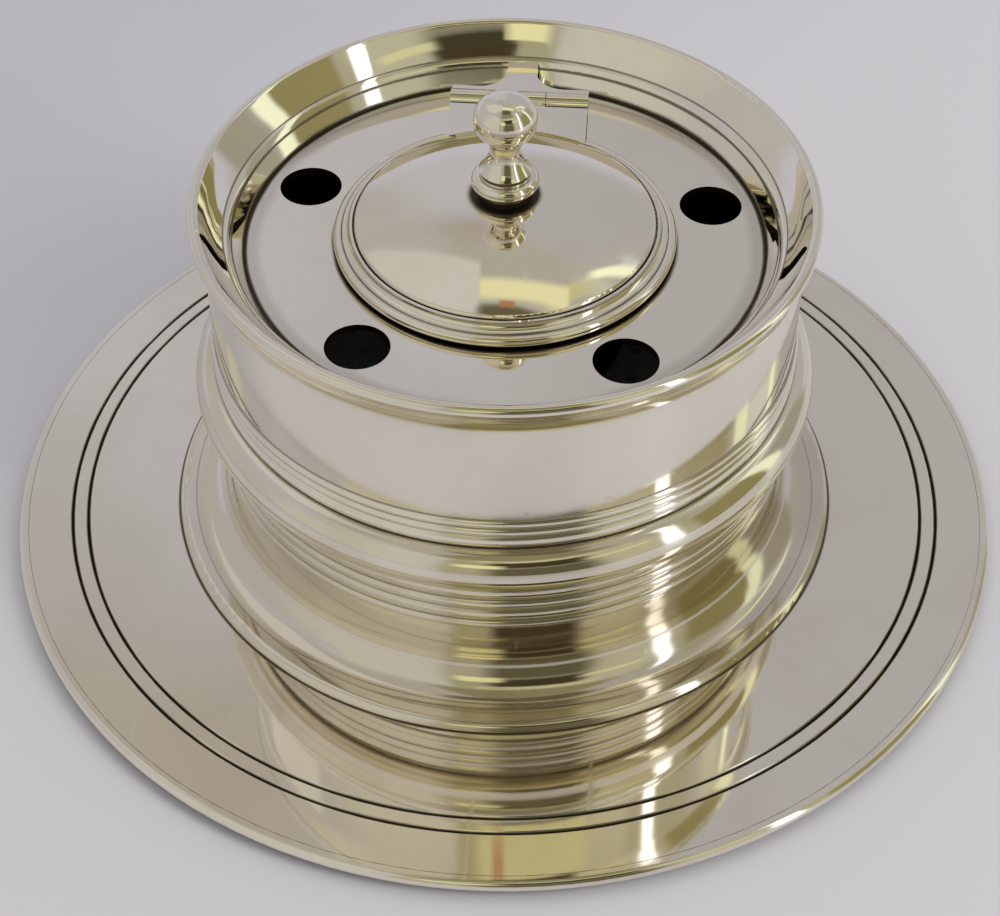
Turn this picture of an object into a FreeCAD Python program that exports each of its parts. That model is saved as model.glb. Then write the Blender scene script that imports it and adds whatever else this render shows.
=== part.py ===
"""Capstan inkwell: a reeded drum on a wide tray, a sunk pen plate, a glass liner and a hinged domed lid.

Millimetres. +Z is up, the origin is the centre of the underside on the table, and the hinge is at +Y.
Every turned piece is a half section revolved about Z. Its points are (radius, height above the table).
"""
import os

import FreeCAD
import Part
from FreeCAD import Vector
from math import atan2, cos, degrees, radians, sin, sqrt

# Fits shared by every piece
SOLDER_GAP = 0.05
LOOSE_GAP = 0.30
SHEET = 0.90

# Base: baize, board, tray sheet and the wire applied round its edge
TRAY_RADIUS = 69.6
BAIZE_THICKNESS = 0.8
BAIZE_INSET = 1.2
BOARD_THICKNESS = 1.4
TRAY_THICKNESS = 0.8
EDGE_WIDTH = 1.45
EDGE_LIFT = 0.35
GROOVE_RADII = (59.8, 62.0)
GROOVE_WIDTH = 0.6
GROOVE_DEPTH = 0.3
LOADING_DEPTH = 6.0

# Drum: foot, reeds, girdle bead and the flare under the lip; heights are above the tray
DRUM_RADIUS = 38.85
FOOT_REACH = 7.85
FOOT_ROUND = 1.2
FOOT_CAVETTO = 5.4
GIRDLE_HEIGHT = 23.6
BEAD_WIDTH = 6.7
BEAD_STAND = 3.15
BEAD_FILLET = 0.35
REED_STAND = 0.45
LOWER_REED_WIDTHS = (1.4, 2.1, 1.8, 2.2)
LOWER_REEDS_HEIGHT = 11.9
UPPER_REED_WIDTHS = (2.1, 1.4, 1.4)
FLARE_START_HEIGHT = 46.0
FLARE_RISE = 4.0
FLARE_REACH = 1.15

# Rim: the rolled lip and the funnel that runs down inside it to the pen plate
LIP_RADIUS = 0.8
LIP_INSET = 0.35
FUNNEL_RUN = 2.8
FUNNEL_DROP = 3.7
FUNNEL_SAG = 0.2
STEP_RUN = 1.0
STEP_DROP = 1.1
STEP_SWELL = 0.2
SKIRT_RUN = 1.45
SKIRT_DROP = 2.2
RIM_ACROSS = 0.85

# Pen plate and the well that it carries
PLATE_THICKNESS = 0.9
PEN_HOLE_RADIUS = 4.1
PLACES_ROUND_PLATE = 5
HINGE_PLACE = 90.0
WELL_WALL = 0.8
WELL_DEPTH = 20.0
SEAT_WIDTH = 1.4
SEAT_THICKNESS = 0.6
LINER_WALL = 2.0
LINER_HEIGHT = 30.0
LINER_FLANGE_THICKNESS = 1.4
LINER_FLOOR = 2.6
LINER_CORNER = 3.0

# Lid: dome, stepped moulding and bezel
LID_RADIUS = 22.2
LID_LIFT = 0.3
LID_BEAD_RADIUS = 0.75
LID_CAVETTO = 0.93
LID_FILLET = 0.17
MOULDING_WIDTH = 2.7
DOME_RISE = 4.2
DOME_SHEET = 0.8
DOME_SHOULDER = 0.6
DOME_EDGE_HEIGHT = 3.1
DOME_GROOVE = 0.2
DOME_STEP = 0.3
DOME_SEAT = 0.35
BEZEL_WALL = 0.5
BEZEL_LIFT = 0.45

# Finial and the nut that holds it; heights are above the crown of the dome
FINIAL_HEIGHT = 14.55
BALL_RADIUS = 4.05
BALL_RISE = 3.15
BALL_DROP = 3.25
BALL_SIDE_ROUND = 2.8
NECK_RADIUS = 2.0
NECK_HEIGHT = 6.5
NECK_SWEEP = 0.25
COLLAR_RADIUS = 3.35
COLLAR_HEIGHT = 3.8
COLLAR_GROOVE = 0.25
COLLAR_GROOVE_HEIGHT = 3.4
FOOT_BEAD_RADIUS = 1.0
FOOT_BEAD_LIFT = 1.0
FINIAL_FOOT_RADIUS = 4.35
STUD_RADIUS = 1.1
STUD_LENGTH = 2.3
NUT_RADIUS = 2.4
NUT_THICKNESS = 1.2

# Hinge across the back of the lid
HINGE_BEHIND_LID = 4.6
HINGE_ABOVE_PLATE = 2.3
HINGE_LENGTH = 19.0
KNUCKLE_RADIUS = 1.5
MIDDLE_KNUCKLE = 7.2
KNUCKLE_GAP = 0.12
PIN_RADIUS = 0.6
PIN_CLEARANCE = 0.04
LEAF_THICKNESS = 0.9
LEAF_TOP_ABOVE_PIN = 0.6
WING_DEPTH = 2.55
WING_FLAT = 3.5
NECK_WIDTH = 4.2
NECK_SHOULDER = 3.0
NECK_GAP = 0.15
BLOCK_DEPTH = 0.9

# Places that follow from the sizes above
TRAY_BOTTOM = BAIZE_THICKNESS + BOARD_THICKNESS
TRAY_TOP = TRAY_BOTTOM + TRAY_THICKNESS
TRAY_SHEET_RADIUS = TRAY_RADIUS - EDGE_WIDTH
BOARD_RADIUS = TRAY_SHEET_RADIUS - LOOSE_GAP
DRUM_BORE = DRUM_RADIUS - SHEET
FOOT_RADIUS = DRUM_RADIUS + FOOT_REACH
GIRDLE_Z = TRAY_TOP + GIRDLE_HEIGHT
BEAD_TOP = GIRDLE_Z + BEAD_WIDTH / 2
FLARE_START = TRAY_TOP + FLARE_START_HEIGHT
DRUM_TOP = FLARE_START + FLARE_RISE
FLARE_RADIUS = (FLARE_RISE ** 2 + FLARE_REACH ** 2) / (2 * FLARE_REACH)
LIP_R = DRUM_RADIUS + FLARE_REACH - LIP_INSET
LIP_Z = DRUM_TOP + LIP_RADIUS - SOLDER_GAP
RIDGE_R = LIP_R - LIP_RADIUS * cos(radians(35)) - FUNNEL_RUN
RIDGE_Z = LIP_Z + LIP_RADIUS * sin(radians(35)) - FUNNEL_DROP
STEP_R = RIDGE_R - STEP_RUN
STEP_Z = RIDGE_Z - STEP_DROP
STEP_MIDDLE_R = RIDGE_R - (STEP_RUN + STEP_SWELL) / 2
STEP_MIDDLE_Z = RIDGE_Z - (STEP_DROP - STEP_SWELL) / 2
SKIRT_R = STEP_R - SKIRT_RUN
PLATE_TOP = STEP_Z - SKIRT_DROP
PLATE_RADIUS = DRUM_BORE - SOLDER_GAP
PEN_RING_RADIUS = (LID_RADIUS + SKIRT_R) / 2
DOME_RADIUS = LID_RADIUS - MOULDING_WIDTH
MOULDING_BORE = DOME_RADIUS - DOME_SEAT
SEAT_TOP = PLATE_TOP + SEAT_THICKNESS
SEAT_RADIUS = MOULDING_BORE - BEZEL_WALL - LOOSE_GAP
WELL_RADIUS = SEAT_RADIUS - SEAT_WIDTH - WELL_WALL
LID_BOTTOM = PLATE_TOP + LID_LIFT
DOME_EDGE_Z = PLATE_TOP + DOME_EDGE_HEIGHT
DOME_CROWN = DOME_EDGE_Z + DOME_RISE
DOME_CURVE = (DOME_RADIUS ** 2 + DOME_RISE ** 2) / (2 * DOME_RISE)
DOME_CENTRE_Z = DOME_CROWN - DOME_CURVE
HINGE_OFFSET = LID_RADIUS + HINGE_BEHIND_LID
HINGE_Z = PLATE_TOP + HINGE_ABOVE_PLATE
LEAF_TOP = HINGE_Z + LEAF_TOP_ABOVE_PIN
LEAF_BOTTOM = LEAF_TOP - LEAF_THICKNESS
KNUCKLE_CLEAR = KNUCKLE_RADIUS + LOOSE_GAP


def line(r, z):
    """A straight step of an outline."""
    return [(r, z)]


def arc(via, end):
    """A round step of an outline, through one point."""
    return [via, end]


def round_point(centre, radius, degrees):
    """A point of a circle in the half section."""
    return (centre[0] + radius * cos(radians(degrees)), centre[1] + radius * sin(radians(degrees)))


def closed_face(start, steps, to_vector):
    """The face inside an outline that runs through its steps and back to its start."""
    edges = []
    here = to_vector(*start)
    for step in [*steps, line(*start)]:
        stations = [to_vector(*point) for point in step]
        if here.distanceToPoint(stations[-1]) > 1e-7:
            curve = Part.Arc(here, *stations) if len(stations) == 2 else Part.LineSegment(here, *stations)
            edges.append(curve.toShape())
        here = stations[-1]
    return Part.Face(Part.Wire(edges))


def turned(start, *steps):
    """A solid of revolution about Z from its half section."""
    section = closed_face(start, steps, lambda r, z: Vector(r, 0, z))
    return section.revolve(Vector(0, 0, 0), Vector(0, 0, 1), 360)


def flat_plate(start, steps, bottom, top):
    """A plate of constant thickness from its plan outline."""
    plan = closed_face(start, steps, lambda x, y: Vector(x, y, bottom))
    return plan.extrude(Vector(0, 0, top - bottom))


def upright(radius, bottom, top, x=0.0, y=0.0):
    """A vertical cylinder."""
    return Part.makeCylinder(radius, top - bottom, Vector(x, y, bottom))


def along_x(radius, start, end):
    """A cylinder on the hinge axis."""
    return Part.makeCylinder(radius, end - start, Vector(start, HINGE_OFFSET, HINGE_Z), Vector(1, 0, 0))


def box(low, high):
    """A box between two corners."""
    size = Vector(*high) - Vector(*low)
    return Part.makeBox(size.x, size.y, size.z, Vector(*low))


def reeds(bottom, widths):
    """Half-round reeds up the drum wall, one above another."""
    steps = []
    for width in widths:
        crest = (DRUM_RADIUS + REED_STAND, bottom + width / 2)
        bottom += width
        steps.append(arc(crest, (DRUM_RADIUS, bottom)))
    return steps


def pen_places():
    """Centres of the pen holes: every place round the plate but the hinge's."""
    spacing = 360.0 / PLACES_ROUND_PLATE
    angles = [radians(HINGE_PLACE + place * spacing) for place in range(1, PLACES_ROUND_PLATE)]
    return [(PEN_RING_RADIUS * cos(angle), PEN_RING_RADIUS * sin(angle)) for angle in angles]


def baize_pad():
    return upright(BOARD_RADIUS - BAIZE_INSET, 0, BAIZE_THICKNESS)


def base_board():
    return upright(BOARD_RADIUS, BAIZE_THICKNESS, TRAY_BOTTOM)


def tray():
    """The tray sheet with two grooves scribed round it."""
    sheet = upright(TRAY_SHEET_RADIUS, TRAY_BOTTOM, TRAY_TOP)
    for radius in GROOVE_RADII:
        inner, outer = radius - GROOVE_WIDTH / 2, radius + GROOVE_WIDTH / 2
        sheet = sheet.cut(turned((inner, TRAY_TOP), line(radius, TRAY_TOP - GROOVE_DEPTH), line(outer, TRAY_TOP)))
    return sheet


def tray_edge():
    """The wire soldered round the tray: flat inside, rounded outside and above."""
    inner = TRAY_SHEET_RADIUS + SOLDER_GAP
    bottom = BAIZE_THICKNESS + EDGE_LIFT
    middle = (bottom + TRAY_TOP) / 2
    shoulder = TRAY_RADIUS - EDGE_WIDTH / 2
    return turned(
        (inner, bottom),
        line(shoulder, bottom),
        arc((TRAY_RADIUS, middle), (shoulder, TRAY_TOP)),
        line(inner, TRAY_TOP),
    )


def loading():
    """The weight set in the foot of the drum."""
    return upright(DRUM_BORE - SOLDER_GAP, TRAY_TOP, TRAY_TOP + LOADING_DEPTH)


def drum_lower():
    """Lower shell of the drum: a round-edged foot, a cavetto, a plain wall and four reeds."""
    cavetto = (DRUM_RADIUS + FOOT_CAVETTO, TRAY_TOP + FOOT_ROUND + FOOT_CAVETTO)
    inner_cavetto = FOOT_CAVETTO + SHEET
    foot_centre = (FOOT_RADIUS - FOOT_ROUND, TRAY_TOP)
    foot_bore = FOOT_RADIUS - SHEET
    return turned(
        (FOOT_RADIUS, TRAY_TOP),
        arc(round_point(foot_centre, FOOT_ROUND, 45), round_point(foot_centre, FOOT_ROUND, 90)),
        line(*round_point(cavetto, FOOT_CAVETTO, 270)),
        arc(round_point(cavetto, FOOT_CAVETTO, 225), round_point(cavetto, FOOT_CAVETTO, 180)),
        line(DRUM_RADIUS, TRAY_TOP + LOWER_REEDS_HEIGHT),
        *reeds(TRAY_TOP + LOWER_REEDS_HEIGHT, LOWER_REED_WIDTHS),
        line(DRUM_RADIUS, GIRDLE_Z),
        line(DRUM_BORE, GIRDLE_Z),
        line(DRUM_BORE, cavetto[1]),
        arc(round_point(cavetto, inner_cavetto, 225), round_point(cavetto, inner_cavetto, 270)),
        line(foot_bore, cavetto[1] - inner_cavetto),
        line(foot_bore, TRAY_TOP),
    )


def flare_bore(z):
    """Inner radius of the flared sheet at a height."""
    return DRUM_RADIUS + FLARE_RADIUS - sqrt((FLARE_RADIUS + SHEET) ** 2 - (z - FLARE_START) ** 2)


def drum_upper():
    """Upper shell of the drum: three reeds, a plain wall and the flare that carries the lip."""
    halfway = FLARE_START + FLARE_RISE / 2
    outer_halfway = DRUM_RADIUS + FLARE_RADIUS - sqrt(FLARE_RADIUS ** 2 - (FLARE_RISE / 2) ** 2)
    return turned(
        (DRUM_RADIUS, GIRDLE_Z),
        line(DRUM_RADIUS, BEAD_TOP),
        *reeds(BEAD_TOP, UPPER_REED_WIDTHS),
        line(DRUM_RADIUS, FLARE_START),
        arc((outer_halfway, halfway), (DRUM_RADIUS + FLARE_REACH, DRUM_TOP)),
        line(flare_bore(DRUM_TOP), DRUM_TOP),
        arc((flare_bore(halfway), halfway), (DRUM_BORE, FLARE_START)),
        line(DRUM_BORE, GIRDLE_Z),
    )


def drum_bead():
    """The half-round girdle that covers the joint of the two shells."""
    inner = DRUM_RADIUS + SOLDER_GAP
    crest = DRUM_RADIUS + BEAD_STAND
    bottom = BEAD_TOP - BEAD_WIDTH
    shoulder = inner + BEAD_FILLET
    return turned(
        (inner, bottom),
        line(shoulder, bottom),
        arc((crest, GIRDLE_Z), (shoulder, BEAD_TOP)),
        line(inner, BEAD_TOP),
    )


def rim():
    """The rolled lip and its funnel, one turned collar that stands on the pen plate."""
    lip = (LIP_R, LIP_Z)
    funnel_top = round_point(lip, LIP_RADIUS, 145)
    funnel_middle = ((funnel_top[0] + RIDGE_R + FUNNEL_SAG) / 2, (funnel_top[1] + RIDGE_Z - FUNNEL_SAG) / 2)
    return turned(
        (DRUM_RADIUS + FLARE_REACH, DRUM_TOP),
        line(*round_point(lip, LIP_RADIUS, -50)),
        arc(round_point(lip, LIP_RADIUS, 40), funnel_top),
        arc(funnel_middle, (RIDGE_R, RIDGE_Z)),
        arc((STEP_MIDDLE_R, STEP_MIDDLE_Z), (STEP_R, STEP_Z)),
        line(SKIRT_R, PLATE_TOP),
        line(SKIRT_R + RIM_ACROSS, PLATE_TOP),
        line(STEP_R + RIM_ACROSS, STEP_Z),
        line(RIDGE_R + RIM_ACROSS, RIDGE_Z),
        line(flare_bore(DRUM_TOP) - SOLDER_GAP, DRUM_TOP),
    )


def pen_plate():
    """The sunk plate with a well in the middle and a hole for each pen."""
    bottom = PLATE_TOP - PLATE_THICKNESS
    plate = upright(PLATE_RADIUS, bottom, PLATE_TOP)
    plate = plate.cut(upright(WELL_RADIUS + WELL_WALL + SOLDER_GAP, bottom, PLATE_TOP))
    for x, y in pen_places():
        plate = plate.cut(upright(PEN_HOLE_RADIUS, bottom, PLATE_TOP, x, y))
    return plate


def well_collar():
    """The tube that holds the liner, with a seat that laps over the plate."""
    outer = WELL_RADIUS + WELL_WALL
    return turned(
        (WELL_RADIUS, PLATE_TOP - WELL_DEPTH),
        line(outer, PLATE_TOP - WELL_DEPTH),
        line(outer, PLATE_TOP),
        line(SEAT_RADIUS, PLATE_TOP),
        line(SEAT_RADIUS, SEAT_TOP),
        line(WELL_RADIUS, SEAT_TOP),
    )


def ink_liner():
    """The glass pot that hangs in the well by its flange."""
    outer = WELL_RADIUS - LOOSE_GAP
    bore = outer - LINER_WALL
    mouth = SEAT_TOP + LINER_FLANGE_THICKNESS
    bottom = SEAT_TOP - LINER_HEIGHT
    floor = bottom + LINER_FLOOR
    outer_corner = (outer - LINER_CORNER, bottom + LINER_CORNER)
    inner_corner = (bore - LINER_CORNER, floor + LINER_CORNER)
    return turned(
        (0, bottom),
        line(outer_corner[0], bottom),
        arc(round_point(outer_corner, LINER_CORNER, -45), round_point(outer_corner, LINER_CORNER, 0)),
        line(outer, SEAT_TOP),
        line(SEAT_RADIUS - LOOSE_GAP, SEAT_TOP),
        line(SEAT_RADIUS - LOOSE_GAP, mouth),
        line(bore, mouth),
        line(*round_point(inner_corner, LINER_CORNER, 0)),
        arc(round_point(inner_corner, LINER_CORNER, -45), round_point(inner_corner, LINER_CORNER, -90)),
        line(0, floor),
    )


def dome_height(r, curve):
    """Height of a sphere about the dome's centre, at a radius."""
    return DOME_CENTRE_Z + sqrt(curve ** 2 - r ** 2)


def lid_dome():
    """The dome, rounded over at its edge, with a hole in its crown for the finial's stud."""
    inside = DOME_CURVE - DOME_SHEET
    hole = STUD_RADIUS + SOLDER_GAP
    half = DOME_RADIUS / 2
    shoulder_r = DOME_RADIUS - DOME_SHOULDER
    shoulder = (shoulder_r, dome_height(shoulder_r, DOME_CURVE - DOME_SHOULDER))
    shoulder_start = degrees(atan2(shoulder[1] - DOME_CENTRE_Z, shoulder_r))
    return turned(
        (hole, dome_height(hole, DOME_CURVE)),
        arc((half, dome_height(half, DOME_CURVE)), round_point(shoulder, DOME_SHOULDER, shoulder_start)),
        arc(round_point(shoulder, DOME_SHOULDER, shoulder_start / 2), (DOME_RADIUS, shoulder[1])),
        line(DOME_RADIUS, dome_height(DOME_RADIUS, inside)),
        arc((half, dome_height(half, inside)), (hole, dome_height(hole, inside))),
    )


def lid_moulding():
    """The stepped ring round the dome: groove, fillet, cavetto, fillet and bead, notched for the hinge."""
    seat = dome_height(DOME_RADIUS, DOME_CURVE - DOME_SHEET)
    top = DOME_EDGE_Z - DOME_STEP
    bead = (LID_RADIUS - LID_BEAD_RADIUS, LID_BOTTOM + LID_BEAD_RADIUS - SOLDER_GAP)
    bead_end = round_point(bead, LID_BEAD_RADIUS, 114)
    cavetto = (bead_end[0] - LID_FILLET, top)
    ring = turned(
        (MOULDING_BORE, LID_BOTTOM),
        line(*round_point(bead, LID_BEAD_RADIUS, -110)),
        arc(round_point(bead, LID_BEAD_RADIUS, 0), bead_end),
        line(cavetto[0], top - LID_CAVETTO),
        arc(round_point(cavetto, LID_CAVETTO, 225), round_point(cavetto, LID_CAVETTO, 180)),
        line(DOME_RADIUS + DOME_GROOVE, top),
        line(DOME_RADIUS + DOME_GROOVE, seat),
        line(MOULDING_BORE, seat),
    )
    notch_half = HINGE_LENGTH / 2 + SOLDER_GAP
    notch = box((-notch_half, 0, LEAF_BOTTOM - SOLDER_GAP), (notch_half, HINGE_OFFSET, DOME_CROWN))
    return ring.cut(notch)


def lid_bezel():
    """The upright band inside the lid that drops round the liner's flange."""
    bottom = LID_BOTTOM + BEZEL_LIFT
    outer = MOULDING_BORE - SOLDER_GAP
    top = dome_height(outer, DOME_CURVE - DOME_SHEET) - SOLDER_GAP
    return upright(outer, bottom, top).cut(upright(outer - BEZEL_WALL, bottom, top))


def ball(middle_z):
    """Outline of the ball from the neck up: a full underside, tighter sides and a flatter top."""
    under = (BALL_DROP ** 2 + (BALL_RADIUS - NECK_RADIUS) ** 2) / (2 * (BALL_RADIUS - NECK_RADIUS))
    under_centre = (BALL_RADIUS - under, middle_z)
    under_start = degrees(atan2(-BALL_DROP, NECK_RADIUS - under_centre[0]))
    side = (BALL_RADIUS - BALL_SIDE_ROUND, middle_z)
    over = (side[0] ** 2 + BALL_RISE ** 2 - BALL_SIDE_ROUND ** 2) / (2 * (BALL_RISE - BALL_SIDE_ROUND))
    over_centre = (0, middle_z + BALL_RISE - over)
    side_end = degrees(atan2(middle_z - over_centre[1], side[0]))
    return [
        arc(round_point(under_centre, under, under_start / 2), (BALL_RADIUS, middle_z)),
        arc(round_point(side, BALL_SIDE_ROUND, side_end / 2), round_point(side, BALL_SIDE_ROUND, side_end)),
        arc(round_point(over_centre, over, (side_end + 90) / 2), (0, middle_z + BALL_RISE)),
    ]


def finial():
    """Recessed foot, bead, collar, waisted neck and ball, with the stud that goes through the dome."""
    base = DOME_CROWN
    ball_z = base + FINIAL_HEIGHT - BALL_RISE
    foot = (FINIAL_FOOT_RADIUS - FOOT_BEAD_RADIUS, base + FOOT_BEAD_LIFT + FOOT_BEAD_RADIUS)
    recess = round_point(foot, FOOT_BEAD_RADIUS, -80)
    waist = ((COLLAR_RADIUS + NECK_RADIUS) / 2 - NECK_SWEEP, base + (COLLAR_HEIGHT + NECK_HEIGHT) / 2)
    return turned(
        (0, base - STUD_LENGTH),
        line(STUD_RADIUS, base - STUD_LENGTH),
        line(STUD_RADIUS, base),
        line(recess[0], base),
        line(*recess),
        arc(round_point(foot, FOOT_BEAD_RADIUS, 10), round_point(foot, FOOT_BEAD_RADIUS, 100)),
        line(COLLAR_RADIUS - COLLAR_GROOVE, base + COLLAR_GROOVE_HEIGHT),
        line(COLLAR_RADIUS, base + COLLAR_HEIGHT),
        arc(waist, (NECK_RADIUS, base + NECK_HEIGHT)),
        line(NECK_RADIUS, ball_z - BALL_DROP),
        *ball(ball_z),
    )


def finial_nut():
    """The round nut under the dome."""
    top = dome_height(NUT_RADIUS, DOME_CURVE - DOME_SHEET) - SOLDER_GAP
    bottom = top - NUT_THICKNESS
    return upright(NUT_RADIUS, bottom, top).cut(upright(STUD_RADIUS + SOLDER_GAP, bottom, top))


def hinge_bore():
    """The hole for the pin, through every knuckle."""
    reach = HINGE_LENGTH / 2 + LOOSE_GAP
    return along_x(PIN_RADIUS + PIN_CLEARANCE, -reach, reach)


def hinge_pin():
    return along_x(PIN_RADIUS, -HINGE_LENGTH / 2, HINGE_LENGTH / 2)


def hinge_block():
    """The upstand that lifts the fixed leaf off the pen plate."""
    half = HINGE_LENGTH / 2
    back = HINGE_OFFSET + WING_DEPTH
    return box((-half, back - BLOCK_DEPTH, PLATE_TOP), (half, back, LEAF_BOTTOM))


def bow_outline():
    """Plan of the fixed leaf: two wings that sweep into a neck, which runs back to the rim."""
    half = HINGE_LENGTH / 2
    back = HINGE_OFFSET + WING_DEPTH
    flat_end = half - WING_FLAT
    neck = NECK_WIDTH / 2
    sweep = flat_end - neck
    radius = (sweep ** 2 + NECK_SHOULDER ** 2) / (2 * NECK_SHOULDER)
    via_y = back + radius - sqrt(radius ** 2 - (sweep / 2) ** 2)
    shoulder = back + NECK_SHOULDER
    steps = [
        line(half, HINGE_OFFSET),
        line(half, back),
        line(flat_end, back),
        arc((flat_end - sweep / 2, via_y), (neck, shoulder)),
        line(neck, RIDGE_R + LOOSE_GAP),
        line(-neck, RIDGE_R + LOOSE_GAP),
        line(-neck, shoulder),
        arc((sweep / 2 - flat_end, via_y), (-flat_end, back)),
        line(-half, back),
    ]
    return (-half, HINGE_OFFSET), steps


def funnel_space():
    """The space inside the rim, where the neck of the fixed leaf stops."""
    return turned(
        (0, PLATE_TOP),
        line(SKIRT_R - NECK_GAP, PLATE_TOP),
        line(STEP_R - NECK_GAP, STEP_Z),
        line(STEP_MIDDLE_R - NECK_GAP, STEP_MIDDLE_Z),
        line(RIDGE_R - NECK_GAP, RIDGE_Z),
        line(0, RIDGE_Z),
    )


def hinge_fixed_leaf():
    """The cupid's-bow leaf on the rim side, with the two outer knuckles."""
    half, middle = HINGE_LENGTH / 2, MIDDLE_KNUCKLE / 2
    start, steps = bow_outline()
    leaf = flat_plate(start, steps, LEAF_BOTTOM, LEAF_TOP).common(funnel_space())
    leaf = leaf.cut(along_x(KNUCKLE_CLEAR, -middle - KNUCKLE_GAP, middle + KNUCKLE_GAP))
    leaf = leaf.fuse([along_x(KNUCKLE_RADIUS, middle + KNUCKLE_GAP, half),
                      along_x(KNUCKLE_RADIUS, -half, -middle - KNUCKLE_GAP)])
    return leaf.cut(hinge_bore()).removeSplitter()


def hinge_lid_leaf():
    """The flat leaf on the lid, let into its moulding, with the middle knuckle."""
    half, middle = HINGE_LENGTH / 2, MIDDLE_KNUCKLE / 2
    leaf = box((-half, 0, LEAF_BOTTOM), (half, HINGE_OFFSET, LEAF_TOP))
    leaf = leaf.cut(upright(DOME_RADIUS + SOLDER_GAP, LEAF_BOTTOM - SHEET, DOME_CROWN))
    leaf = leaf.cut([along_x(KNUCKLE_CLEAR, middle, half + LOOSE_GAP),
                     along_x(KNUCKLE_CLEAR, -half - LOOSE_GAP, -middle)])
    leaf = leaf.fuse(along_x(KNUCKLE_RADIUS, -middle, middle))
    return leaf.cut(hinge_bore()).removeSplitter()


PIECES = {
    "baize_pad": baize_pad,
    "base_board": base_board,
    "tray": tray,
    "tray_edge": tray_edge,
    "loading": loading,
    "drum_lower": drum_lower,
    "drum_upper": drum_upper,
    "drum_bead": drum_bead,
    "rim": rim,
    "pen_plate": pen_plate,
    "well_collar": well_collar,
    "ink_liner": ink_liner,
    "lid_dome": lid_dome,
    "lid_moulding": lid_moulding,
    "lid_bezel": lid_bezel,
    "finial": finial,
    "finial_nut": finial_nut,
    "hinge_block": hinge_block,
    "hinge_fixed_leaf": hinge_fixed_leaf,
    "hinge_lid_leaf": hinge_lid_leaf,
    "hinge_pin": hinge_pin,
}


def main():
    os.makedirs("parts", exist_ok=True)
    for name, make in PIECES.items():
        shape = make()
        shape.exportStep(f"parts/{name}.step")
        size = shape.BoundBox
        print(f"{name}: {len(shape.Solids)} solid, {size.XLength:.2f} x {size.YLength:.2f} x {size.ZLength:.2f}, "
              f"valid {shape.isValid()}")


main()
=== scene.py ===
# %% [markdown]
# # A capstan inkwell in polished silver
#
# The object is a wide round tray, a reeded drum that stands on it, and a sunk plate that holds a glass pot
# and four dip pens. A domed lid with a ball finial closes the pot. Nearly everything is turned silver, so
# the lesson is mostly about metal that shows its surroundings, and about the tarnish that polishing
# leaves in every groove. The rigid parts come from the CAD frame and keep their places.

from math import cos, pi, radians, sin, tau

import bpy
from mathutils import Matrix, Vector


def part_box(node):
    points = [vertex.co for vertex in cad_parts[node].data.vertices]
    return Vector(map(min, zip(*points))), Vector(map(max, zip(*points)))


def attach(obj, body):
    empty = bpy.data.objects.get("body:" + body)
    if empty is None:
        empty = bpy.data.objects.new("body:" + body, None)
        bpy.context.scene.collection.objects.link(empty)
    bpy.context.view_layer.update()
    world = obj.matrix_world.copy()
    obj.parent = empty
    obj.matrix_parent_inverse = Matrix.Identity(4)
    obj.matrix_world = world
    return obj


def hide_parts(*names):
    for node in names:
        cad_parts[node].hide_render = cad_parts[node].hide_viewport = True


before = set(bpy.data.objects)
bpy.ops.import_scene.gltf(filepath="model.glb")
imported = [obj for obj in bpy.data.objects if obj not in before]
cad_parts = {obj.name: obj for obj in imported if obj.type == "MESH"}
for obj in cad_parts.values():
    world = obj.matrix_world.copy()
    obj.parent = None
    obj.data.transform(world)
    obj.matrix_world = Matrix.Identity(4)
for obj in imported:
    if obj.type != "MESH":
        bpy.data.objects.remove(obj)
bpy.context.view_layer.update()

# %% [markdown]
# The photograph looks down at about 45 degrees with a fairly long lens. The camera is made first, because
# a mirror finish can only be judged from where the picture was taken. Its three axes are written as
# vectors: what it looks along, what lies to its right, and the cross product of the two, which is up.

# %% Camera
eye = Vector((0.014842, -0.204555, 0.212625))
ahead = Vector((-0.053123, 0.703349, -0.708857)).normalized()
right = Vector((0.997086, 0.076276, 0.000960)).normalized()
up = right.cross(ahead)

lens = bpy.data.cameras.new("photo_camera")
lens.sensor_fit = "HORIZONTAL"
lens.sensor_width = 36.0
lens.lens = 72.63
lens.clip_start = 0.01
camera = bpy.data.objects.new("photo_camera", lens)
bpy.context.scene.collection.objects.link(camera)
camera.matrix_world = Matrix.Translation(eye) @ Matrix((right, up, -ahead)).transposed().to_4x4()
bpy.context.scene.camera = camera
print("camera distance:", round(eye.length, 4))

# %% [markdown]
# A metal has no colour of its own beyond a tint, so the room around it has to be made with some care.
# The room is a stack of soft cards that are far away. A card is a patch of directions between some edges.
# The compass angle is 0 towards the viewer and 90 to the right, and the height angle is 90 straight up.
# Overhead the compass turns too fast to be of use, so the cards of the ceiling are cut in plan instead,
# by how far a direction leans to the right and to the back.

# %% Directions of the room
world = bpy.data.worlds.new("room")
bpy.context.scene.world = world
world.use_nodes = True
room = world.node_tree
room.nodes.clear()


def add(tree, kind, **settings):
    """Add a node and set its properties and inputs. An input is given by a name that starts with in_."""
    node = tree.nodes.new(kind)
    for key, value in settings.items():
        if key.startswith("in_"):
            socket = node.inputs[int(key[3:])] if key[3:].isdigit() else node.inputs[key[3:].replace("_", " ")]
            if isinstance(value, bpy.types.NodeSocket):
                tree.links.new(value, socket)
            else:
                socket.default_value = value
        else:
            setattr(node, key, value)
    return node


def calc(tree, operation, first, second=0.0, third=0.0):
    """One arithmetic step. Gives its result socket."""
    node = add(tree, "ShaderNodeMath", operation=operation, in_0=first, in_1=second, in_2=third)
    return node.outputs[0]


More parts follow.
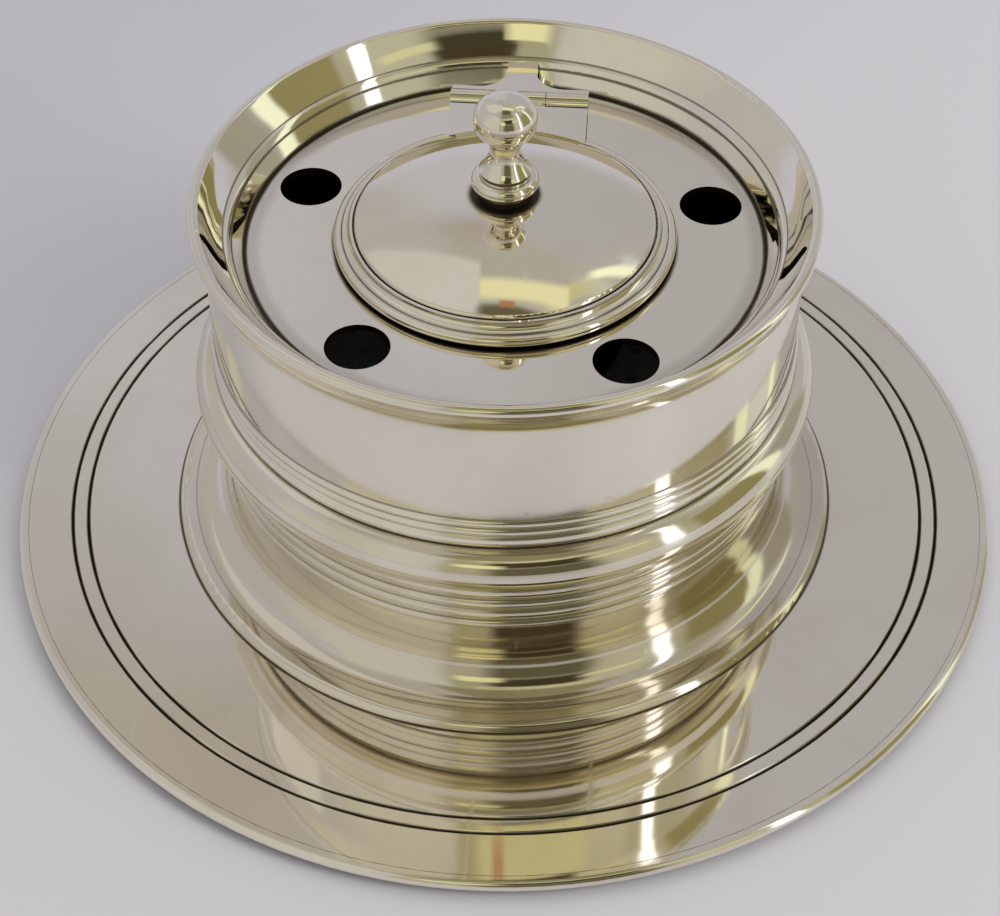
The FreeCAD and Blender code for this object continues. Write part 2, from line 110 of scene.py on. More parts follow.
looking = add(room, "ShaderNodeTexCoord").outputs["Generated"]
axis = add(room, "ShaderNodeSeparateXYZ", in_0=looking).outputs
compass = calc(room, "DEGREES", calc(room, "ARCTAN2", axis["X"], calc(room, "MULTIPLY", axis["Y"], -1.0)))
height = calc(room, "DEGREES", calc(room, "ARCSINE", axis["Z"]))
lean = calc(room, "MULTIPLY", calc(room, "POWER", height, 3.0), 0.00011)
measures = {
    "compass": compass,
    "height": height,
    "window": calc(room, "SUBTRACT", compass, lean),
    "right": axis["X"],
    "back": axis["Y"],
    "falling": calc(room, "MULTIPLY_ADD", axis["X"], 0.39, axis["Y"]),
    "rising": calc(room, "MULTIPLY_ADD", axis["X"], -0.90, axis["Y"]),
}


def card(behind, colour, *edges):
    """Lay one soft card over the room so far. Each edge is (measure, low, high, softness)."""
    mask = 1.0
    for measure, low, high, soft in edges:
        value = measures[measure]
        for start, stop in ((low - soft, low + soft), (high + soft, high - soft)):
            if abs(start) < 300:
                fade = add(room, "ShaderNodeMapRange", interpolation_type="SMOOTHSTEP", in_0=value, in_1=start,
                           in_2=stop)
                mask = calc(room, "MULTIPLY", mask, fade.outputs[0])
    mixed = add(room, "ShaderNodeMix", data_type="RGBA", in_0=mask, in_6=behind, in_7=(*colour, 1.0))
    return mixed.outputs[2]


# %% Cards of the room
seen = add(room, "ShaderNodeRGB")
seen.outputs[0].default_value = (0.455, 0.445, 0.470, 1.0)
seen = seen.outputs[0]
walls = [
    ((0.520, 0.515, 0.565), ("right", -0.45, -0.05, 0.06), ("back", 0.66, 9, 0.05)),
    ((0.420, 0.380, 0.335), ("right", -0.45, -0.11, 0.05), ("back", 0.40, 0.61, 0.04)),
    ((0.490, 0.477, 0.470), ("compass", -150, -8, 14), ("height", -20, 80, 8)),
    ((0.585, 0.570, 0.510), ("compass", -74, -14, 16), ("height", -20, 64, 8)),
    ((0.450, 0.430, 0.380), ("height", 60, 999, 8)),
    ((0.500, 0.500, 0.570), ("compass", -122, -62, 4), ("height", 41, 47, 2)),
    ((0.480, 0.465, 0.430), ("compass", 104, 142, 6), ("height", -20, 62, 5)),
    ((0.690, 0.720, 0.730), ("compass", 104, 138, 4), ("height", 41, 46, 2)),
    ((0.430, 0.408, 0.301), ("compass", -17, 104, 4), ("height", -20, 62, 6)),
    ((0.270, 0.252, 0.142), ("compass", -30, 62, 8), ("height", 60, 86, 4)),
    ((0.400, 0.385, 0.245), ("compass", -17, -4, 3), ("height", 40, 60, 4)),
    ((0.560, 0.555, 0.640), ("back", 0.45, 9, 0.10), ("height", -20, 12, 5)),
]
ceiling = [
    ((0.620, 0.600, 0.575), ("right", -0.62, -0.14, 0.012), ("back", 0.04, 0.60, 0.03),
     ("falling", -9, 0.295, 0.03)),
    ((0.580, 0.550, 0.310), ("right", 0.22, 0.43, 0.03), ("rising", -0.09, 0.01, 0.02)),
    ((0.820, 0.790, 0.480), ("right", -0.14, 0.30, 0.012), ("back", 0.12, 0.25, 0.03)),
    ((1.080, 1.080, 0.800), ("right", 0.37, 0.56, 0.03), ("rising", -0.012, 0.055, 0.02)),
    ((0.130, 0.115, 0.065), ("right", -0.14, 0.22, 0.04), ("back", -0.10, 0.085, 0.012)),
    ((0.450, 0.200, 0.100), ("right", -0.035, 0.045, 0.012), ("back", 0.080, 0.112, 0.010)),
]
front = [
    ((0.530, 0.510, 0.385), ("compass", 38, 66, 5), ("height", -20, 60, 5)),
    ((0.290, 0.260, 0.120), ("window", 70, 99, 2), ("height", -20, 44, 4)),
    ((0.370, 0.345, 0.285), ("window", 108, 128, 3), ("height", -20, 36, 5)),
    ((0.130, 0.115, 0.065), ("compass", -1, 34, 5), ("height", -20, 30, 4)),
    ((0.055, 0.047, 0.024), ("compass", -1, 34, 5), ("height", 32, 47, 3)),
    ((0.860, 0.845, 0.480), ("compass", -13, 3.5, 3), ("height", 28, 40.5, 1)),
    ((0.700, 0.690, 0.420), ("compass", 34, 58, 3), ("height", 36, 42.5, 1)),
    ((0.060, 0.044, 0.018), ("compass", -1, 36, 4), ("height", 44, 52.3, 1.2)),
    ((0.600, 0.575, 0.350), ("compass", -8, 45, 4), ("height", 53, 60, 1.2)),
    ((0.420, 0.190, 0.090), ("compass", -1, 4.5, 1.2), ("height", 55.8, 57.2, 0.4)),
    ((1.850, 1.900, 2.050), ("window", 56.5, 63, 1.2), ("height", -20, 62, 4)),
    ((1.000, 1.050, 0.800), ("window", 98.5, 106.5, 1.5), ("height", -20, 46, 4)),
    ((0.590, 0.580, 0.480), ("window", 96, 110, 4), ("height", 47, 62, 5)),
]
for colour, *edges in [*walls, *ceiling, *front]:
    seen = card(seen, colour, *edges)
print("cards:", len(walls) + len(ceiling) + len(front))

# %% [markdown]
# Diffuse surfaces are lit by a plain even light, so that a colour renders as it is written. Only the
# rays that a mirror or a glass sends out see the cards, and the camera sees a plain backdrop.

# %% Light of the room
path = add(room, "ShaderNodeLightPath").outputs
mirror_ray = calc(room, "MAXIMUM", path["Is Glossy Ray"], path["Is Transmission Ray"])
even = add(room, "ShaderNodeBackground", in_0=(1.0, 0.985, 1.0, 1.0), in_1=0.72)
backdrop = add(room, "ShaderNodeBackground", in_0=(0.60, 0.59, 0.63, 1.0), in_1=1.0)
cards = add(room, "ShaderNodeBackground", in_0=seen, in_1=1.0)
to_mirrors = add(room, "ShaderNodeMixShader", in_0=mirror_ray, in_1=even.outputs[0], in_2=cards.outputs[0])
to_camera = add(room, "ShaderNodeMixShader", in_0=path["Is Camera Ray"], in_1=to_mirrors.outputs[0],
                in_2=backdrop.outputs[0])
add(room, "ShaderNodeOutputWorld", in_0=to_camera.outputs[0])


def lamp(name, place, aim, width, tall, watts, colour):
    """A soft upright lamp that mirrors don't show, because a card stands for it there."""
    light = bpy.data.lights.new(name, "AREA")
    light.shape = "RECTANGLE"
    light.size = width
    light.size_y = tall
    light.energy = watts
    light.color = colour
    made = bpy.data.objects.new(name, light)
    bpy.context.scene.collection.objects.link(made)
    made.location = place
    made.rotation_euler = (Vector(aim) - Vector(place)).to_track_quat("-Z", "Y").to_euler()
    made.visible_glossy = False
    made.visible_transmission = False
    return made


window_light = lamp("window_light", (0.68, -0.34, 0.56), (0.0, 0.0, 0.02), 0.30, 0.60, 3.4, (1.0, 0.98, 0.96))
print("lamps:", window_light.name)

# %% [markdown]
# The table is one large pale sheet. It is part of the stage and not of the object. It keeps the soft
# shadow that the tray casts, and the lower walls of the drum mirror it.

# %% Table
bpy.ops.object.select_all(action="DESELECT")
bpy.ops.mesh.primitive_plane_add(size=6.0, location=(0.0, 0.0, 0.0))
table = bpy.context.object
table.name = "table"
paper = bpy.data.materials.new("pale_table")
paper.use_nodes = True
sheet = paper.node_tree.nodes["Principled BSDF"]
sheet.inputs["Roughness"].default_value = 0.28
sheet.inputs["Specular IOR Level"].default_value = 0.6
# The table's colour is painted darker towards the left and the back: a painted falloff of the light, brighter towards
# the window.
along = add(paper.node_tree, "ShaderNodeTexCoord").outputs["Object"]
along = add(paper.node_tree, "ShaderNodeSeparateXYZ", in_0=along).outputs
slant = calc(paper.node_tree, "MULTIPLY_ADD", along["Y"], -0.8, along["X"])
fade = add(paper.node_tree, "ShaderNodeMapRange", interpolation_type="SMOOTHSTEP", in_0=slant, in_1=-0.20, in_2=-0.02)
painted_light_falloff = add(paper.node_tree, "ShaderNodeMix", data_type="RGBA", in_0=fade.outputs[0], in_6=(0.545, 0.537, 0.580, 1.0),
            in_7=(0.650, 0.643, 0.665, 1.0))
paper.node_tree.links.new(painted_light_falloff.outputs[2], sheet.inputs["Base Color"])
table.data.materials.append(paper)

# %% [markdown]
# Silver is a metal with a faint warm tint. Four effects turn a plain mirror into a used object: soft
# clouds left by the polishing cloth, short fine scratches, a few dark pits, and tarnish that stays
# wherever a cloth can't reach. The same dark colour also paints shade in some hollows and under edges.
# Each effect is a node group, so every silver part shares it.

# %% A helper for node groups
def new_group(name, inputs, outputs):
    """An empty shader group with its input and output sockets. Gives the group, its inputs and its end."""
    group = bpy.data.node_groups.new(name, "ShaderNodeTree")
    kinds = {"value": "NodeSocketFloat", "vector": "NodeSocketVector", "colour": "NodeSocketColor"}
    for label, kind, start in inputs:
        socket = group.interface.new_socket(name=label, in_out="INPUT", socket_type=kinds[kind])
        if start is not None:
            socket.default_value = start
    for label, kind in outputs:
        group.interface.new_socket(name=label, in_out="OUTPUT", socket_type=kinds[kind])
    entry = group.nodes.new("NodeGroupInput")
    end = group.nodes.new("NodeGroupOutput")
    return group, entry.outputs, end


# %% Effect: a dark line, for tarnish and for painted shade
soft_line, given, end = new_group(
    "tarnish_and_shade_line",
    [("Across", "value", 0.0), ("Centre", "value", 0.0), ("Width", "value", 0.0004), ("Depth", "value", 1.0),
     ("Wander", "vector", None)],
    [("Mask", "value")],
)
patchy = add(soft_line, "ShaderNodeTexNoise", in_Vector=given["Wander"], in_Scale=90.0, in_Detail=2.0)
patchy = add(soft_line, "ShaderNodeMapRange", in_0=patchy.outputs[0], in_1=0.3, in_2=0.7, in_3=0.72, in_4=1.12)
apart = calc(soft_line, "ABSOLUTE", calc(soft_line, "SUBTRACT", given["Across"], given["Centre"]))
reach = calc(soft_line, "MULTIPLY", given["Width"], patchy.outputs[0])
near = add(soft_line, "ShaderNodeMapRange", interpolation_type="SMOOTHSTEP", in_0=apart,
           in_1=calc(soft_line, "MULTIPLY", reach, 0.25), in_2=reach, in_3=1.0, in_4=0.0)
soft_line.links.new(calc(soft_line, "MULTIPLY", near.outputs[0], given["Depth"]), end.inputs["Mask"])

# %% Effect: a polished and worn surface
polish, given, end = new_group(
    "hand_polish",
    [("Place", "vector", None), ("Bright", "colour", (0.90, 0.85, 0.745, 1.0)),
     ("Cloud", "colour", (0.84, 0.79, 0.68, 1.0)), ("Tarnish", "colour", (0.060, 0.048, 0.030, 1.0)),
     ("Tarnish And Shade Mask", "value", 0.0), ("Smooth", "value", 0.035), ("Scratches", "value", 1.0),
     ("Pits", "value", 1.0)],
    [("Color", "colour"), ("Roughness", "value"), ("Height", "value")],
)
clouds = add(polish, "ShaderNodeTexNoise", in_Vector=given["Place"], in_Scale=38.0, in_Detail=4.0,
             in_Roughness=0.6)
cloud = add(polish, "ShaderNodeMapRange", interpolation_type="SMOOTHSTEP", in_0=clouds.outputs[0], in_1=0.42,
            in_2=0.68)
spots = add(polish, "ShaderNodeTexVoronoi", in_Vector=given["Place"], in_Scale=42.0)
spot_size = add(polish, "ShaderNodeSeparateColor", in_0=spots.outputs["Color"])
spot_reach = add(polish, "ShaderNodeMapRange", in_0=spot_size.outputs[0], in_1=0.86, in_2=1.0, in_3=0.0,
                 in_4=0.016)
pit = calc(polish, "LESS_THAN", spots.outputs["Distance"], spot_reach.outputs[0])
pit = calc(polish, "MULTIPLY", pit, given["Pits"])

lengthways = add(polish, "ShaderNodeMapping", in_Vector=given["Place"], in_Rotation=(0.3, 0.2, 0.6),
                 in_Scale=(420.0, 26.0, 420.0))
crossways = add(polish, "ShaderNodeMapping", in_Vector=given["Place"], in_Rotation=(0.1, 0.4, -0.9),
                in_Scale=(380.0, 30.0, 380.0))
hairs = []
for turned in (lengthways, crossways):
    hair = add(polish, "ShaderNodeTexNoise", in_Vector=turned.outputs[0], in_Scale=1.0, in_Detail=2.0)
    hairs.append(add(polish, "ShaderNodeMapRange", in_0=hair.outputs[0], in_1=0.69, in_2=0.76).outputs[0])
scratch = calc(polish, "MULTIPLY", calc(polish, "MAXIMUM", *hairs), given["Scratches"])

# The mask gives the Tarnish colour to real tarnish and pits, and also to painted shade in hollows and under edges.
dull = calc(polish, "MAXIMUM", given["Tarnish And Shade Mask"], pit)
metal = add(polish, "ShaderNodeMix", data_type="RGBA", in_0=cloud.outputs[0], in_6=given["Bright"],
            in_7=given["Cloud"])
stained = add(polish, "ShaderNodeMix", data_type="RGBA", in_0=dull, in_6=metal.outputs[2],
              in_7=given["Tarnish"])
polish.links.new(stained.outputs[2], end.inputs["Color"])
rough = calc(polish, "MULTIPLY_ADD", cloud.outputs[0], 0.030, given["Smooth"])
rough = calc(polish, "MULTIPLY_ADD", scratch, 0.10, rough)
rough = calc(polish, "MULTIPLY_ADD", dull, 0.42, rough)
polish.links.new(rough, end.inputs["Roughness"])
sunk = calc(polish, "MULTIPLY_ADD", pit, -0.6, calc(polish, "MULTIPLY", scratch, -0.12))
ripple = calc(polish, "MULTIPLY_ADD", clouds.outputs[0], 0.6, sunk)
polish.links.new(ripple, end.inputs["Height"])

# %% [markdown]
# Every silver part is turned on one axis, so a groove is a circle: a distance from the axis, or a height.
# A material is therefore told where its own grooves are, in metres, and lays one tarnished line on each.
# Other lines of the same form are painted shade, and hollows that light doesn't reach are painted black.

# %% Silver for one part
def silver(name, across_lines=(), height_lines=(), smooth=0.035, scratches=1.0, pits=1.0,
           bright=(0.90, 0.85, 0.745), cloud=(0.84, 0.79, 0.68), black_inside=0.0, black_under=0.0):
    """Polished silver with tarnish and painted shade at the given radii and heights: (place, width, depth)
    for each line. A hollow part is painted black nearer the axis than black_inside, and a plate is painted
    black below black_under: painted shade in hollows that light doesn't reach."""
    material = bpy.data.materials.new(name)
    material.use_nodes = True
    tree = material.node_tree
    tree.nodes.clear()
    place = add(tree, "ShaderNodeTexCoord").outputs["Object"]
    parts = add(tree, "ShaderNodeSeparateXYZ", in_0=place).outputs
    flat = calc(tree, "ADD", calc(tree, "MULTIPLY", parts["X"], parts["X"]),
                calc(tree, "MULTIPLY", parts["Y"], parts["Y"]))
    radius = calc(tree, "SQRT", flat)
    mask = None
    for across, lines in ((radius, across_lines), (parts["Z"], height_lines)):
        for centre, width, depth in lines:
            line = tree.nodes.new("ShaderNodeGroup")
            line.node_tree = soft_line
            tree.links.new(across, line.inputs["Across"])
            tree.links.new(place, line.inputs["Wander"])
            line.inputs["Centre"].default_value = centre
            line.inputs["Width"].default_value = width
            line.inputs["Depth"].default_value = depth
            found = line.outputs["Mask"]
            mask = found if mask is None else calc(tree, "MAXIMUM", mask, found)
    # Hollows are painted black here: painted shade inside the drum and the pen holes.
    for measured, limit in ((radius, black_inside), (parts["Z"], black_under)):
        if limit:
            painted_black = calc(tree, "LESS_THAN", measured, limit)
            mask = painted_black if mask is None else calc(tree, "MAXIMUM", mask, painted_black)
    worn = tree.nodes.new("ShaderNodeGroup")
    worn.node_tree = polish
    tree.links.new(place, worn.inputs["Place"])
    if mask is not None:
        tree.links.new(mask, worn.inputs["Tarnish And Shade Mask"])
    worn.inputs["Bright"].default_value = (*bright, 1.0)
    worn.inputs["Cloud"].default_value = (*cloud, 1.0)
    worn.inputs["Smooth"].default_value = smooth
    worn.inputs["Scratches"].default_value = scratches
    worn.inputs["Pits"].default_value = pits
    bump = add(tree, "ShaderNodeBump", in_Strength=0.25, in_Distance=0.00004, in_Height=worn.outputs["Height"])
    surface = add(tree, "ShaderNodeBsdfPrincipled", in_Metallic=1.0, in_Base_Color=worn.outputs["Color"],
                  in_Roughness=worn.outputs["Roughness"], in_Normal=bump.outputs[0])
    add(tree, "ShaderNodeOutputMaterial", in_0=surface.outputs[0])
    return material


def finish(node, material):
    """Give a CAD part its material."""
    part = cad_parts[node]
    part.data.materials.clear()
    part.data.materials.append(material)


# %% Silver parts
MM = 0.001
TRAY_TOP = 3.0 * MM
PLATE_TOP = 47.209 * MM

finish("tray", silver("tray_silver", [(59.8 * MM, 0.42 * MM, 1.0), (62.0 * MM, 0.42 * MM, 1.0),
                                      (46.75 * MM, 0.35 * MM, 0.9)]))
finish("tray_edge", silver("edge_silver", [(68.12 * MM, 0.16 * MM, 0.25)], [(1.2 * MM, 0.5 * MM, 0.8)]))
# Both drum parts are painted black nearer the axis than 38.3 mm: painted shade on the inside of the drum.
finish("drum_lower", silver(
    "lower_drum_silver", [(46.9 * MM, 0.3 * MM, 1.0), (44.3 * MM, 0.20 * MM, 0.3)],
    [(14.9 * MM, 0.24 * MM, 0.55), (16.3 * MM, 0.20 * MM, 0.5), (18.4 * MM, 0.22 * MM, 0.6),
     (20.2 * MM, 0.22 * MM, 0.6), (22.4 * MM, 0.24 * MM, 0.7), (23.25 * MM, 0.30 * MM, 0.8)],
    smooth=0.065, bright=(0.81, 0.755, 0.645), cloud=(0.70, 0.64, 0.525), black_inside=38.3 * MM))
finish("drum_upper", silver(
    "upper_drum_silver", [],
    [(29.95 * MM, 0.24 * MM, 0.7), (32.05 * MM, 0.20 * MM, 0.6), (33.45 * MM, 0.20 * MM, 0.5),
     (34.85 * MM, 0.18 * MM, 0.5), (52.95 * MM, 0.14 * MM, 0.5)], smooth=0.055,
    black_inside=38.3 * MM))
# The line at 39 mm on the bead paints the shade and the dark reflection along its top.
finish("drum_bead", silver("bead_silver", [(39.0 * MM, 0.60 * MM, 0.50)], smooth=0.06,
                           bright=(0.86, 0.805, 0.69), cloud=(0.74, 0.68, 0.56)))
finish("rim", silver("rim_silver", [(36.19 * MM, 0.16 * MM, 0.7), (35.19 * MM, 0.18 * MM, 0.8),
                                    (33.75 * MM, 0.45 * MM, 1.0)]))
# On the plate, the line at 21.9 mm is a painted shadow around the lid's edge, the soft wide band at 33.2 mm is painted
# shade and the rim's painted dark reflection, and below the top the plate is painted black as shade in the pen holes.
# The line at 33.75 mm is the dark joint with the rim.
finish("pen_plate", silver("plate_silver", [(33.75 * MM, 0.8 * MM, 1.0), (33.2 * MM, 2.4 * MM, 0.22), (21.9 * MM, 0.9 * MM, 1.0)],
                           black_under=PLATE_TOP - 0.25 * MM))
finish("well_collar", silver("collar_silver", smooth=0.10))
# On the dome, the wide ring at 3.9 mm around the finial's foot is partly tarnish in the seam and partly a painted
# shadow and painted reflection of the dark recess under the foot.
finish("lid_dome", silver("dome_silver", [(19.6 * MM, 0.2 * MM, 0.9), (3.9 * MM, 1.3 * MM, 1.0)]))
# On the moulding, the line at 47.5 mm along the lid's lowest edge is a painted shadow where the lid meets the plate.
finish("lid_moulding", silver(
    "moulding_silver", [(19.6 * MM, 0.16 * MM, 1.0), (20.1 * MM, 0.12 * MM, 0.3), (21.1 * MM, 0.16 * MM, 0.7)],
    [(47.5 * MM, 0.3 * MM, 1.0)]))
finish("lid_bezel", silver("bezel_silver", smooth=0.10))
# On the finial, the line at 54.9 mm paints the shade in the recess under the foot bead, with some tarnish in the seam.
# The line at 57.85 mm is tarnish in a groove.
finish("finial", silver("finial_silver", [], [(54.9 * MM, 0.8 * MM, 1.0), (57.85 * MM, 0.30 * MM, 0.9)]))
# The hinge parts are darker in a band about 0.8 mm above the plate.
for leaf in ("hinge_block", "hinge_fixed_leaf", "hinge_lid_leaf"):
    finish(leaf, silver(leaf + "_silver", [], [(48.0 * MM, 0.5 * MM, 0.9)]))
finish("hinge_pin", silver("pin_steel", bright=(0.60, 0.58, 0.55), cloud=(0.50, 0.48, 0.45), smooth=0.25))

# %% [markdown]
# The rest of the inkwell isn't silver: a glass pot, set plaster for weight, a stained board and brass
# for the nut. Glass stays a plain clear shader, and only its colour changes, where dried ink has stained
# the floor of the pot. The plaster is gritty, and the board shows the growth lines of its wood.

# %% Glass, plaster and board
def fresh(name):
    """A new material with an empty node tree. Gives the material, its tree and its Object coordinates."""
    material = bpy.data.materials.new(name)
    material.use_nodes = True
    material.node_tree.nodes.clear()
    return material, material.node_tree, add(material.node_tree, "ShaderNodeTexCoord").outputs["Object"]


def surfaced(tree, height, strength, depth, **settings):
    """Close a material with a bumped Principled surface."""
    bump = add(tree, "ShaderNodeBump", in_Strength=strength, in_Distance=depth, in_Height=height)
    surface = add(tree, "ShaderNodeBsdfPrincipled", in_Normal=bump.outputs[0], **settings)
    add(tree, "ShaderNodeOutputMaterial", in_0=surface.outputs[0])


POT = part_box("ink_liner")
glass, tree, place = fresh("pot_glass")
parts = add(tree, "ShaderNodeSeparateXYZ", in_0=place).outputs
swirl = add(tree, "ShaderNodeTexNoise", in_Vector=place, in_Scale=120.0, in_Detail=3.0)
tide = calc(tree, "MULTIPLY_ADD", swirl.outputs[0], 0.004, parts["Z"])
stain = add(tree, "ShaderNodeMapRange", interpolation_type="SMOOTHSTEP", in_0=tide, in_1=POT[0][2] + 0.0075,
            in_2=POT[0][2] + 0.0035)
tint = add(tree, "ShaderNodeMix", data_type="RGBA", in_0=stain.outputs[0], in_6=(0.90, 0.95, 0.94, 1.0),
           in_7=(0.34, 0.37, 0.52, 1.0))
surfaced(tree, swirl.outputs[0], 0.3, 0.00004, in_Base_Color=tint.outputs[2], in_Roughness=0.03, in_IOR=1.50,
         in_Transmission_Weight=1.0)
finish("ink_liner", glass)

plaster, tree, place = fresh("set_plaster")
grit = add(tree, "ShaderNodeTexNoise", in_Vector=place, in_Scale=900.0, in_Detail=6.0, in_Roughness=0.7)
holes = add(tree, "ShaderNodeTexVoronoi", in_Vector=place, in_Scale=260.0)
air = add(tree, "ShaderNodeMapRange", in_0=holes.outputs["Distance"], in_1=0.10, in_2=0.28)
tone = add(tree, "ShaderNodeMix", data_type="RGBA", in_0=grit.outputs[0], in_6=(0.40, 0.385, 0.35, 1.0),
           in_7=(0.62, 0.60, 0.55, 1.0))
shaded = add(tree, "ShaderNodeMix", data_type="RGBA", in_0=air.outputs[0], in_6=(0.22, 0.21, 0.19, 1.0),
             in_7=tone.outputs[2])
surfaced(tree, calc(tree, "ADD", grit.outputs[0], air.outputs[0]), 0.6, 0.00030, in_Base_Color=shaded.outputs[2],
         in_Roughness=0.90)
finish("loading", plaster)

board, tree, place = fresh("stained_board")
stretched = add(tree, "ShaderNodeMapping", in_Vector=place, in_Rotation=(0.0, 0.0, 0.5), in_Scale=(14.0, 190.0, 90.0))
warp = add(tree, "ShaderNodeTexNoise", in_Vector=stretched.outputs[0], in_Scale=1.0, in_Detail=5.0)
rings = add(tree, "ShaderNodeTexWave", bands_direction="Y", in_Vector=place, in_Scale=52.0, in_Distortion=5.5,
            in_Detail=3.0, in_Detail_Scale=1.2)
blend = calc(tree, "MULTIPLY", warp.outputs[0], rings.outputs["Fac"])
streak = add(tree, "ShaderNodeMapRange", in_0=blend, in_1=0.05, in_2=0.55)
wood = add(tree, "ShaderNodeMix", data_type="RGBA", in_0=streak.outputs[0], in_6=(0.17, 0.095, 0.050, 1.0),
           in_7=(0.36, 0.225, 0.130, 1.0))
polish_left = add(tree, "ShaderNodeMapRange", in_0=warp.outputs[0], in_3=0.45, in_4=0.70)
surfaced(tree, blend, 0.4, 0.00008, in_Base_Color=wood.outputs[2], in_Roughness=polish_left.outputs[0])
finish("base_board", board)
print("pot stands on", round(POT[0][2], 4))

# %% [markdown]
# The nut under the dome is a small turned brass ring with a milled edge, so that fingers can hold it.
# It starts as a drum of 48 sides. Its two ends are inset and bridged to open the hole, every second
# side face is pressed in for the milling, and a bevel takes the sharpness off.

# %% Brass nut
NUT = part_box("finial_nut")
nut_radius = (NUT[1][0] - NUT[0][0]) / 2
nut_middle = (NUT[0][2] + NUT[1][2]) / 2
STUD_HOLE = 1.150 * MM
bpy.ops.object.select_all(action="DESELECT")
bpy.ops.mesh.primitive_cylinder_add(vertices=48, radius=nut_radius, depth=NUT[1][2] - NUT[0][2],
                                    location=(0.0, 0.0, nut_middle), end_fill_type="NGON")
nut = bpy.context.object
nut.name = "milled_nut"
bpy.ops.object.transform_apply(location=True, rotation=True, scale=True)


def pick_faces(piece, wanted):
    """Select the faces of a piece that pass a test, in edit mode."""
    bpy.ops.object.mode_set(mode="EDIT")
    bpy.ops.mesh.select_mode(type="FACE")
    bpy.ops.mesh.select_all(action="DESELECT")
    bpy.ops.object.mode_set(mode="OBJECT")
    for face in piece.data.polygons:
        face.select = wanted(face)
    bpy.ops.object.mode_set(mode="EDIT")


pick_faces(nut, lambda face: abs(face.normal.z) > 0.9)
bpy.ops.mesh.inset(thickness=nut_radius * 0.12, depth=0.0)
bpy.ops.mesh.inset(thickness=nut_radius * 0.88 - STUD_HOLE, depth=0.0)
bpy.ops.mesh.bridge_edge_loops()
pick_faces(nut, lambda face: abs(face.normal.z) < 0.1 and face.center.xy.length > nut_radius * 0.9
           and int(round((Vector((1, 0)).angle_signed(face.center.xy) % tau) / tau * 48 - 0.5)) % 2 == 0)
bpy.ops.mesh.inset(thickness=nut_radius * 0.012, use_individual=True)
bpy.ops.transform.resize(value=(0.955, 0.955, 1.0), center_override=(0.0, 0.0, nut_middle))
bpy.ops.object.mode_set(mode="OBJECT")
soften = nut.modifiers.new("soften", "BEVEL")
soften.width = 0.00005
soften.segments = 2
soften.limit_method = "ANGLE"
bpy.ops.object.modifier_apply(modifier=soften.name)
bpy.ops.object.shade_smooth_by_angle(angle=radians(35))
nut.data.materials.append(silver("nut_brass", bright=(0.80, 0.62, 0.30), cloud=(0.66, 0.50, 0.24), smooth=0.22))
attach(nut, "lid")
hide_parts("finial_nut")
print("nut faces:", len(nut.data.polygons))

# %% [markdown]
# The foot is covered with one disc of baize, glued flat to the board. Baize is a woven wool cloth with a
# felted nap: the weave is fine, and fibres stand up along the cut edge. The disc starts as a circle, which
# is inset into rings so that the cloth can ripple a little, and a Solidify modifier gives its thickness.

# %% Baize under the foot
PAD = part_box("baize_pad")
cloth_radius = (PAD[1][0] - PAD[0][0]) / 2
cloth_thick = PAD[1][2] - PAD[0][2]
bpy.ops.object.select_all(action="DESELECT")
bpy.ops.mesh.primitive_circle_add(vertices=128, radius=cloth_radius, fill_type="NGON", location=(0.0, 0.0, PAD[1][2]))
baize = bpy.context.object
baize.name = "baize_disc"
bpy.ops.object.transform_apply(location=True, rotation=True, scale=True)
pick_faces(baize, lambda face: True)
for step in range(16):
    bpy.ops.mesh.inset(thickness=0.0004 if step == 0 else cloth_radius / 17, depth=0.0)
bpy.ops.mesh.poke()
bpy.ops.object.mode_set(mode="OBJECT")
for spot in baize.data.vertices:
    turn = Vector((1, 0)).angle_signed(spot.co.xy) if spot.co.xy.length > 1e-6 else 0.0
    frayed = 0.00012 * (sin(31 * turn) + 0.6 * sin(53 * turn + 1.0)) if spot.co.xy.length > cloth_radius * 0.999 else 0.0
    spot.co.xy *= 1 - (0.0002 + frayed) / cloth_radius
    spot.co.z -= 0.00004 * (1 + sin(6 * turn) * sin(spot.co.xy.length * 260))
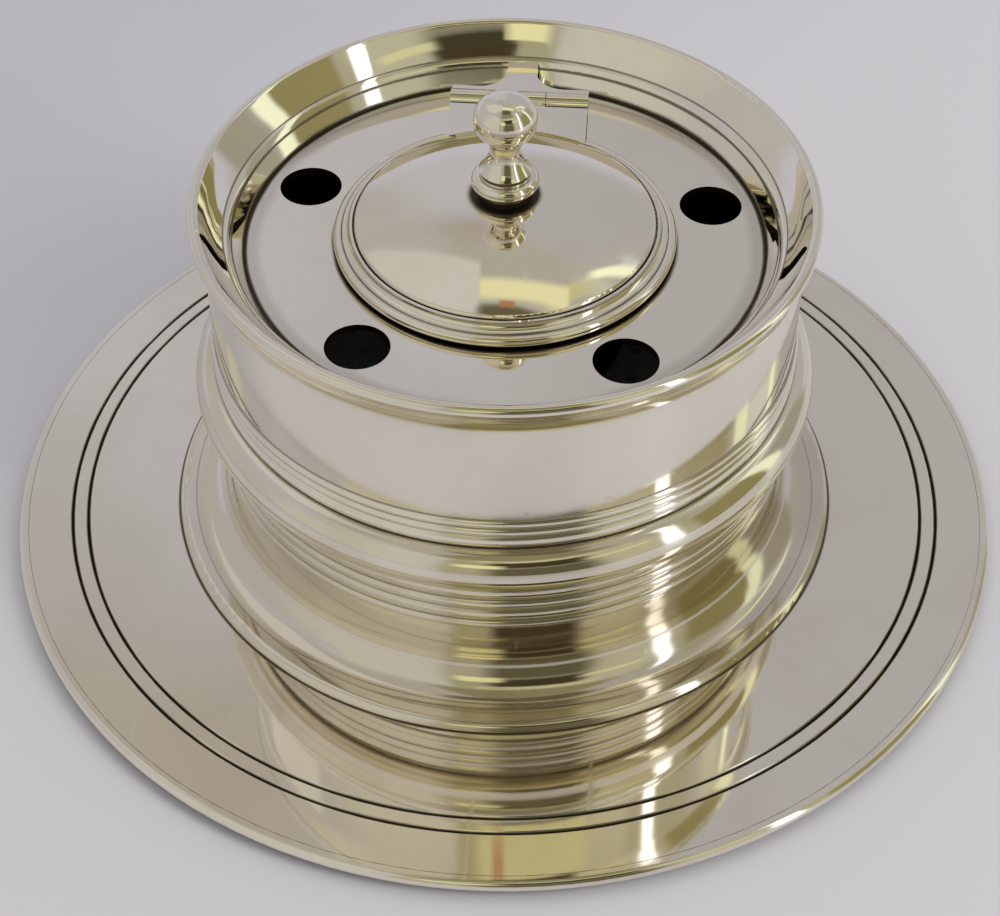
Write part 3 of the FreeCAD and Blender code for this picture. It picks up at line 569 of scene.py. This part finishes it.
thicken = baize.modifiers.new("thickness", "SOLIDIFY")
thicken.thickness = cloth_thick - 0.00012
thicken.offset = -1.0
bpy.ops.object.modifier_apply(modifier=thicken.name)
bpy.ops.object.mode_set(mode="EDIT")
bpy.ops.mesh.select_all(action="SELECT")
bpy.ops.mesh.normals_make_consistent(inside=False)
bpy.ops.object.mode_set(mode="OBJECT")
bpy.ops.object.shade_smooth_by_angle(angle=radians(50))

felt, tree, place = fresh("green_baize")
warp_turn = add(tree, "ShaderNodeMapping", in_Vector=place, in_Rotation=(0.0, 0.0, 0.35))
threads = []
for side in ("X", "Y"):
    threads.append(add(tree, "ShaderNodeTexWave", bands_direction=side, in_Vector=warp_turn.outputs[0], in_Scale=520.0,
                       in_Distortion=1.6, in_Detail=2.0).outputs["Fac"])
weave = calc(tree, "MAXIMUM", *threads)
nap = add(tree, "ShaderNodeTexNoise", in_Vector=place, in_Scale=1900.0, in_Detail=4.0)
rubbed = add(tree, "ShaderNodeTexNoise", in_Vector=place, in_Scale=45.0, in_Detail=3.0)
fibre = calc(tree, "MULTIPLY_ADD", nap.outputs[0], 0.7, calc(tree, "MULTIPLY", weave, 0.3))
dyed = add(tree, "ShaderNodeMix", data_type="RGBA", in_0=fibre, in_6=(0.035, 0.115, 0.065, 1.0),
           in_7=(0.095, 0.260, 0.155, 1.0))
worn_patch = add(tree, "ShaderNodeMapRange", in_0=rubbed.outputs[0], in_1=0.50, in_2=0.75, in_4=0.45)
faded = add(tree, "ShaderNodeMix", data_type="RGBA", in_0=worn_patch.outputs[0], in_6=dyed.outputs[2],
            in_7=(0.190, 0.270, 0.170, 1.0))
surfaced(tree, fibre, 0.7, 0.00025, in_Base_Color=faded.outputs[2], in_Roughness=0.95, in_Sheen_Weight=0.35,
         in_Sheen_Roughness=0.5)
baize.data.materials.append(felt)
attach(baize, "stand")
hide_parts("baize_pad")
print("baize across:", round(2 * cloth_radius, 4), "faces:", len(baize.data.polygons))

# %% Finish
bpy.context.scene.view_settings.view_transform = "Standard"
